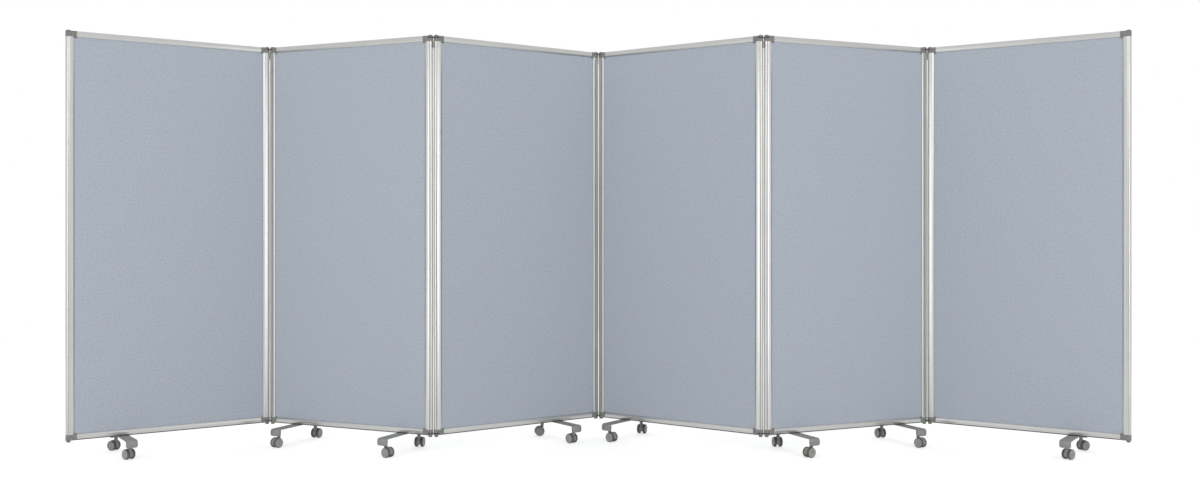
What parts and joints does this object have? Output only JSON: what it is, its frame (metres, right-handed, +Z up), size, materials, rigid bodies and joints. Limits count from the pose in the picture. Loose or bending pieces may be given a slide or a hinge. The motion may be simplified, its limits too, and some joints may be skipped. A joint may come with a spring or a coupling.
{
  "type": "rolling partition",
  "caption": "Folding rolling room partition: framed fabric panels in a zigzag, joined by double-pin hinges, on strap feet with twin-wheel swivel casters.",
  "frame": {"origin": "on the floor under the middle of the bounding box, in the pose the picture shows", "axes": "+X along the partition, to the right as seen from the front; +Y away from the viewer; +Z up"},
  "size_m": [4.6842, 0.7478, 1.8925],
  "materials": {
    "frame_aluminium": "satin anodised",
    "panel_fabric": "fine woven, flat-stretched",
    "hinge_dark": "dark satin",
    "foot_paint": "mid-grey satin powder coat",
    "caster_plastic": "mid-grey moulded",
    "wheel_plastic": "mid-grey moulded"
  },
  "bodies": {
    "panel_1": {"panel_1_frame": "frame_aluminium", "panel_1_board": "panel_fabric", "foot_1_strap": "foot_paint"},
    "panel_2": {"panel_2_frame": "frame_aluminium", "panel_2_board": "panel_fabric", "foot_2a_strap": "foot_paint", "foot_2b_strap": "foot_paint"},
    "panel_3": {"panel_3_frame": "frame_aluminium", "panel_3_board": "panel_fabric", "foot_3_strap": "foot_paint"},
    "panel_4": {"panel_4_frame": "frame_aluminium", "panel_4_board": "panel_fabric", "foot_4_strap": "foot_paint"},
    "panel_5": {"panel_5_frame": "frame_aluminium", "panel_5_board": "panel_fabric", "foot_5a_strap": "foot_paint", "foot_5b_strap": "foot_paint"},
    "panel_6": {"panel_6_frame": "frame_aluminium", "panel_6_board": "panel_fabric", "foot_6_strap": "foot_paint"},
    "link_1": {"hinge_link_1": "hinge_dark"},
    "link_2": {"hinge_link_2": "hinge_dark"},
    "link_3": {"hinge_link_3": "hinge_dark"},
    "link_4": {"hinge_link_4": "hinge_dark"},
    "link_5": {"hinge_link_5": "hinge_dark"},
    "foot_1_front_caster": {"foot_1_front_yoke": "caster_plastic"},
    "foot_1_front_wheel_pair": {"foot_1_front_wheels": "wheel_plastic"},
    "foot_1_rear_caster": {"foot_1_rear_yoke": "caster_plastic"},
    "foot_1_rear_wheel_pair": {"foot_1_rear_wheels": "wheel_plastic"},
    "foot_2a_front_caster": {"foot_2a_front_yoke": "caster_plastic"},
    "foot_2a_front_wheel_pair": {"foot_2a_front_wheels": "wheel_plastic"},
    "foot_2a_rear_caster": {"foot_2a_rear_yoke": "caster_plastic"},
    "foot_2a_rear_wheel_pair": {"foot_2a_rear_wheels": "wheel_plastic"},
    "foot_2b_front_caster": {"foot_2b_front_yoke": "caster_plastic"},
    "foot_2b_front_wheel_pair": {"foot_2b_front_wheels": "wheel_plastic"},
    "foot_2b_rear_caster": {"foot_2b_rear_yoke": "caster_plastic"},
    "foot_2b_rear_wheel_pair": {"foot_2b_rear_wheels": "wheel_plastic"},
    "foot_3_front_caster": {"foot_3_front_yoke": "caster_plastic"},
    "foot_3_front_wheel_pair": {"foot_3_front_wheels": "wheel_plastic"},
    "foot_3_rear_caster": {"foot_3_rear_yoke": "caster_plastic"},
    "foot_3_rear_wheel_pair": {"foot_3_rear_wheels": "wheel_plastic"},
    "foot_4_front_caster": {"foot_4_front_yoke": "caster_plastic"},
    "foot_4_front_wheel_pair": {"foot_4_front_wheels": "wheel_plastic"},
    "foot_4_rear_caster": {"foot_4_rear_yoke": "caster_plastic"},
    "foot_4_rear_wheel_pair": {"foot_4_rear_wheels": "wheel_plastic"},
    "foot_5a_front_caster": {"foot_5a_front_yoke": "caster_plastic"},
    "foot_5a_front_wheel_pair": {"foot_5a_front_wheels": "wheel_plastic"},
    "foot_5a_rear_caster": {"foot_5a_rear_yoke": "caster_plastic"},
    "foot_5a_rear_wheel_pair": {"foot_5a_rear_wheels": "wheel_plastic"},
    "foot_5b_front_caster": {"foot_5b_front_yoke": "caster_plastic"},
    "foot_5b_front_wheel_pair": {"foot_5b_front_wheels": "wheel_plastic"},
    "foot_5b_rear_caster": {"foot_5b_rear_yoke": "caster_plastic"},
    "foot_5b_rear_wheel_pair": {"foot_5b_rear_wheels": "wheel_plastic"},
    "foot_6_front_caster": {"foot_6_front_yoke": "caster_plastic"},
    "foot_6_front_wheel_pair": {"foot_6_front_wheels": "wheel_plastic"},
    "foot_6_rear_caster": {"foot_6_rear_yoke": "caster_plastic"},
    "foot_6_rear_wheel_pair": {"foot_6_rear_wheels": "wheel_plastic"}
  },
  "joints": [
    {"name": "hinge_2_right_pin", "type": "hinge", "parent": "panel_3", "child": "link_2", "pos_m": [-0.73159, -0.21277, 1.888], "axis": [0, 0, -1], "range_deg": [-120.3, 59.7]},
    {"name": "hinge_2_left_pin", "type": "hinge", "parent": "link_2", "child": "panel_2", "pos_m": [-0.75825, -0.21553, 1.888], "axis": [0, 0, -1], "range_deg": [-120.3, 59.7]},
    {"name": "hinge_1_right_pin", "type": "hinge", "parent": "panel_2", "child": "link_1", "pos_m": [-1.56876, 0.15213, 1.888], "axis": [0, 0, 1], "range_deg": [-119.4, 60.6]},
    {"name": "hinge_1_left_pin", "type": "hinge", "parent": "link_1", "child": "panel_1", "pos_m": [-1.59546, 0.1498, 1.888], "axis": [0, 0, 1], "range_deg": [-119.4, 60.6]},
    {"name": "hinge_3_left_pin", "type": "hinge", "parent": "panel_3", "child": "link_3", "pos_m": [-0.0134, 0.31287, 1.888], "axis": [0, 0, -1], "range_deg": [-77.2, 4.8]},
    {"name": "hinge_3_right_pin", "type": "hinge", "parent": "link_3", "child": "panel_4", "pos_m": [0.0134, 0.31287, 1.888], "axis": [0, 0, -1], "range_deg": [-77.2, 4.8]},
    {"name": "hinge_4_left_pin", "type": "hinge", "parent": "panel_4", "child": "link_4", "pos_m": [0.73159, -0.21277, 1.888], "axis": [0, 0, 1], "range_deg": [-106.3, 45.7]},
    {"name": "hinge_4_right_pin", "type": "hinge", "parent": "link_4", "child": "panel_5", "pos_m": [0.75825, -0.21553, 1.888], "axis": [0, 0, 1], "range_deg": [-106.3, 45.7]},
    {"name": "hinge_5_left_pin", "type": "hinge", "parent": "panel_5", "child": "link_5", "pos_m": [1.56876, 0.15213, 1.888], "axis": [0, 0, -1], "range_deg": [-119.4, 60.6]},
    {"name": "hinge_5_right_pin", "type": "hinge", "parent": "link_5", "child": "panel_6", "pos_m": [1.59546, 0.1498, 1.888], "axis": [0, 0, -1], "range_deg": [-119.4, 60.6]},
    {"name": "foot_1_front_swivel", "type": "hinge", "parent": "panel_1", "child": "foot_1_front_caster", "pos_m": [-2.06459, -0.33504, 0.077], "axis": [0, 0, 1], "continuous": true},
    {"name": "foot_1_front_roll", "type": "hinge", "parent": "foot_1_front_caster", "child": "foot_1_front_wheel_pair", "pos_m": [-2.07511, -0.32739, 0.023], "axis": [-0.5878, -0.809, 0], "continuous": true},
    {"name": "foot_1_rear_swivel", "type": "hinge", "parent": "panel_1", "child": "foot_1_rear_caster", "pos_m": [-2.21713, -0.11225, 0.077], "axis": [0, 0, 1], "continuous": true},
    {"name": "foot_1_rear_roll", "type": "hinge", "parent": "foot_1_rear_caster", "child": "foot_1_rear_wheel_pair", "pos_m": [-2.2291, -0.10717, 0.023], "axis": [-0.3907, -0.9205, 0], "continuous": true},
    {"name": "foot_2a_front_swivel", "type": "hinge", "parent": "panel_2", "child": "foot_2a_front_caster", "pos_m": [-1.48975, -0.03195, 0.077], "axis": [0, 0, 1], "continuous": true},
    {"name": "foot_2a_front_roll", "type": "hinge", "parent": "foot_2a_front_caster", "child": "foot_2a_front_wheel_pair", "pos_m": [-1.49775, -0.04219, 0.023], "axis": [0.788, -0.6157, 0], "continuous": true},
    {"name": "foot_2a_rear_swivel", "type": "hinge", "parent": "panel_2", "child": "foot_2a_rear_caster", "pos_m": [-1.37821, 0.21394, 0.077], "axis": [0, 0, 1], "continuous": true},
    {"name": "foot_2a_rear_roll", "type": "hinge", "parent": "foot_2a_rear_caster", "child": "foot_2a_rear_wheel_pair", "pos_m": [-1.37441, 0.22637, 0.023], "axis": [-0.9563, 0.2924, 0], "continuous": true},
    {"name": "foot_2b_front_swivel", "type": "hinge", "parent": "panel_2", "child": "foot_2b_front_caster", "pos_m": [-0.9488, -0.27733, 0.077], "axis": [0, 0, 1], "continuous": true},
    {"name": "foot_2b_front_roll", "type": "hinge", "parent": "foot_2b_front_caster", "child": "foot_2b_front_wheel_pair", "pos_m": [-0.93803, -0.2846, 0.023], "axis": [0.5592, 0.829, 0], "continuous": true},
    {"name": "foot_2b_rear_swivel", "type": "hinge", "parent": "panel_2", "child": "foot_2b_rear_caster", "pos_m": [-0.83727, -0.03145, 0.077], "axis": [0, 0, 1], "continuous": true},
    {"name": "foot_2b_rear_roll", "type": "hinge", "parent": "foot_2b_rear_caster", "child": "foot_2b_rear_wheel_pair", "pos_m": [-0.83523, -0.01861, 0.023], "axis": [-0.9877, 0.1564, 0], "continuous": true},
    {"name": "foot_3_front_swivel", "type": "hinge", "parent": "panel_3", "child": "foot_3_front_caster", "pos_m": [-0.11846, 0.06868, 0.077], "axis": [0, 0, 1], "continuous": true},
    {"name": "foot_3_front_roll", "type": "hinge", "parent": "foot_3_front_caster", "child": "foot_3_front_wheel_pair", "pos_m": [-0.12781, 0.07771, 0.023], "axis": [-0.6947, -0.7193, 0], "continuous": true},
    {"name": "foot_3_rear_swivel", "type": "hinge", "parent": "panel_3", "child": "foot_3_rear_caster", "pos_m": [-0.27793, 0.28656, 0.077], "axis": [0, 0, 1], "continuous": true},
    {"name": "foot_3_rear_roll", "type": "hinge", "parent": "foot_3_rear_caster", "child": "foot_3_rear_wheel_pair", "pos_m": [-0.29069, 0.28408, 0.023], "axis": [0.1908, -0.9816, 0], "continuous": true},
    {"name": "foot_4_front_swivel", "type": "hinge", "parent": "panel_4", "child": "foot_4_front_caster", "pos_m": [0.0531, 0.11652, 0.077], "axis": [0, 0, 1], "continuous": true},
    {"name": "foot_4_front_roll", "type": "hinge", "parent": "foot_4_front_caster", "child": "foot_4_front_wheel_pair", "pos_m": [0.06291, 0.10799, 0.023], "axis": [0.6561, 0.7547, 0], "continuous": true},
    {"name": "foot_4_rear_swivel", "type": "hinge", "parent": "panel_4", "child": "foot_4_rear_caster", "pos_m": [0.21256, 0.3344, 0.077], "axis": [0, 0, 1], "continuous": true},
    {"name": "foot_4_rear_roll", "type": "hinge", "parent": "foot_4_rear_caster", "child": "foot_4_rear_wheel_pair", "pos_m": [0.21679, 0.34669, 0.023], "axis": [-0.9455, 0.3256, 0], "continuous": true},
    {"name": "foot_5a_front_swivel", "type": "hinge", "parent": "panel_5", "child": "foot_5a_front_caster", "pos_m": [0.9488, -0.27733, 0.077], "axis": [0, 0, 1], "continuous": true},
    {"name": "foot_5a_front_roll", "type": "hinge", "parent": "foot_5a_front_caster", "child": "foot_5a_front_wheel_pair", "pos_m": [0.93803, -0.2846, 0.023], "axis": [0.5592, -0.829, 0], "continuous": true},
    {"name": "foot_5a_rear_swivel", "type": "hinge", "parent": "panel_5", "child": "foot_5a_rear_caster", "pos_m": [0.83727, -0.03145, 0.077], "axis": [0, 0, 1], "continuous": true},
    {"name": "foot_5a_rear_roll", "type": "hinge", "parent": "foot_5a_rear_caster", "child": "foot_5a_rear_wheel_pair", "pos_m": [0.83523, -0.01861, 0.023], "axis": [-0.9877, -0.1564, 0], "continuous": true},
    {"name": "foot_5b_front_swivel", "type": "hinge", "parent": "panel_5", "child": "foot_5b_front_caster", "pos_m": [1.48975, -0.03195, 0.077], "axis": [0, 0, 1], "continuous": true},
    {"name": "foot_5b_front_roll", "type": "hinge", "parent": "foot_5b_front_caster", "child": "foot_5b_front_wheel_pair", "pos_m": [1.49775, -0.04219, 0.023], "axis": [0.788, 0.6157, 0], "continuous": true},
    {"name": "foot_5b_rear_swivel", "type": "hinge", "parent": "panel_5", "child": "foot_5b_rear_caster", "pos_m": [1.37821, 0.21394, 0.077], "axis": [0, 0, 1], "continuous": true},
    {"name": "foot_5b_rear_roll", "type": "hinge", "parent": "foot_5b_rear_caster", "child": "foot_5b_rear_wheel_pair", "pos_m": [1.37441, 0.22637, 0.023], "axis": [-0.9563, -0.2924, 0], "continuous": true},
    {"name": "foot_6_front_swivel", "type": "hinge", "parent": "panel_6", "child": "foot_6_front_caster", "pos_m": [2.06459, -0.33504, 0.077], "axis": [0, 0, 1], "continuous": true},
    {"name": "foot_6_front_roll", "type": "hinge", "parent": "foot_6_front_caster", "child": "foot_6_front_wheel_pair", "pos_m": [2.07511, -0.32739, 0.023], "axis": [-0.5878, 0.809, 0], "continuous": true},
    {"name": "foot_6_rear_swivel", "type": "hinge", "parent": "panel_6", "child": "foot_6_rear_caster", "pos_m": [2.21713, -0.11225, 0.077], "axis": [0, 0, 1], "continuous": true},
    {"name": "foot_6_rear_roll", "type": "hinge", "parent": "foot_6_rear_caster", "child": "foot_6_rear_wheel_pair", "pos_m": [2.2291, -0.10717, 0.023], "axis": [-0.3907, 0.9205, 0], "continuous": true}
  ]
}
